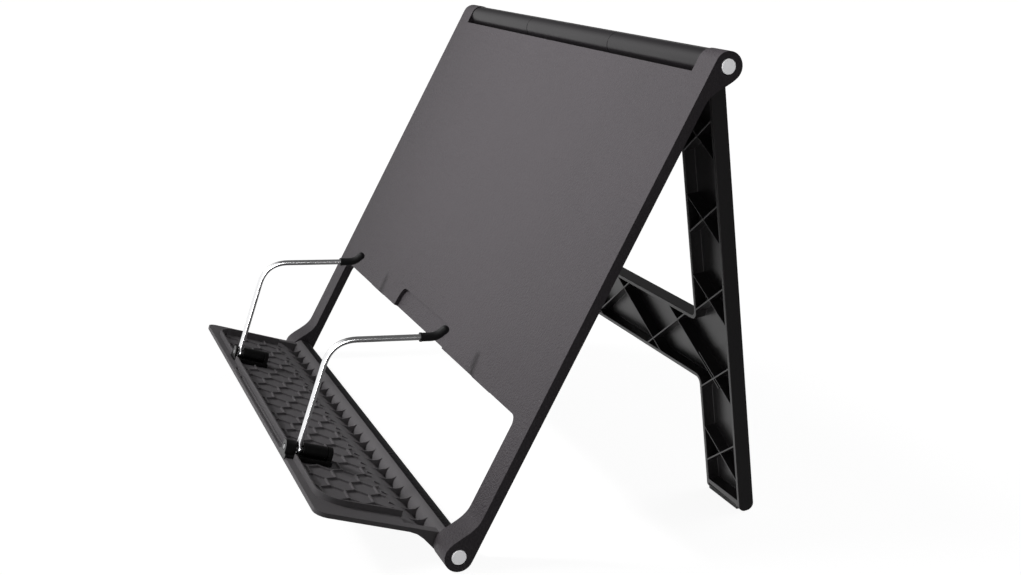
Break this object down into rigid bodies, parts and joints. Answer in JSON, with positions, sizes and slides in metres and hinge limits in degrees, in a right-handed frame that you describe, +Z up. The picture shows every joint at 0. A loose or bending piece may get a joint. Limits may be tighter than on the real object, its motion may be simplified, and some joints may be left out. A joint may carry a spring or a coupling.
{
  "type": "photo album stand",
  "caption": "Folding stand that holds a photo album or book open: leaning ribbed panel, hinged H-shaped rear leg, shallow honeycomb tray and two swivelling wire page arms.",
  "frame": {"origin": "centre of the footprint, on the table", "axes": "+X to the reader's right, -Y towards the reader, +Z up; both hinge pins run along X"},
  "size_m": [0.34, 0.2194, 0.2277],
  "materials": {
    "panel_plastic": "fine leather grain, warm dark grey",
    "frame_plastic": "satin, near black",
    "tray_plastic": "satin grey",
    "cover_plastic": "satin dark grey",
    "pad_rubber": "ribbed, light grey",
    "tip_rubber": "soft sleeve, black",
    "bush_nylon": "natural nylon",
    "pin_steel": "turned",
    "wire_chrome": "bright plated",
    "pivot_plastic": "black"
  },
  "bodies": {
    "panel": {"back_panel": "panel_plastic", "top_hinge_pin_left": "pin_steel", "top_hinge_pin_right": "pin_steel", "bottom_hinge_pin_left": "pin_steel", "bottom_hinge_pin_right": "pin_steel"},
    "leg": {"leg_frame": "frame_plastic", "leg_barrel_cover_left": "cover_plastic", "leg_barrel_cover_middle": "cover_plastic", "leg_barrel_cover_right": "cover_plastic", "foot_pad_left": "pad_rubber", "foot_pad_right": "pad_rubber", "top_friction_bush_left": "bush_nylon", "top_friction_bush_right": "bush_nylon"},
    "tray": {"tray": "tray_plastic", "tray_barrel_cover_left": "cover_plastic", "tray_barrel_cover_middle": "cover_plastic", "tray_barrel_cover_right": "cover_plastic", "bottom_friction_bush_left": "bush_nylon", "bottom_friction_bush_right": "bush_nylon", "arm_bracket_left": "pivot_plastic", "arm_bracket_right": "pivot_plastic", "arm_swivel_pin_left": "pin_steel", "arm_swivel_pin_right": "pin_steel"},
    "arm_left": {"arm_swivel_sleeve_left": "pivot_plastic", "page_arm_wire_left": "wire_chrome", "page_arm_tip_left": "tip_rubber"},
    "arm_right": {"arm_swivel_sleeve_right": "pivot_plastic", "page_arm_wire_right": "wire_chrome", "page_arm_tip_right": "tip_rubber"}
  },
  "joints": [
    {"name": "leg_hinge", "type": "hinge", "parent": "panel", "child": "leg", "pos_m": [0, 0.07334, 0.22076], "axis": [-1, 0, 0], "range_deg": [0, 35.5]},
    {"name": "tray_hinge", "type": "hinge", "parent": "panel", "child": "tray", "pos_m": [0, -0.04913, 0.0069], "axis": [-1, 0, 0], "range_deg": [-17.8, 10]},
    {"name": "arm_right_swivel", "type": "hinge", "parent": "tray", "child": "arm_right", "pos_m": [0.081, -0.10151, 0.03154], "axis": [0, -0.9521, 0.3057], "range_deg": [0, 88]},
    {"name": "arm_left_swivel", "type": "hinge", "parent": "tray", "child": "arm_left", "pos_m": [-0.081, -0.10151, 0.03154], "axis": [0, 0.9521, -0.3057], "range_deg": [0, 88]}
  ]
}
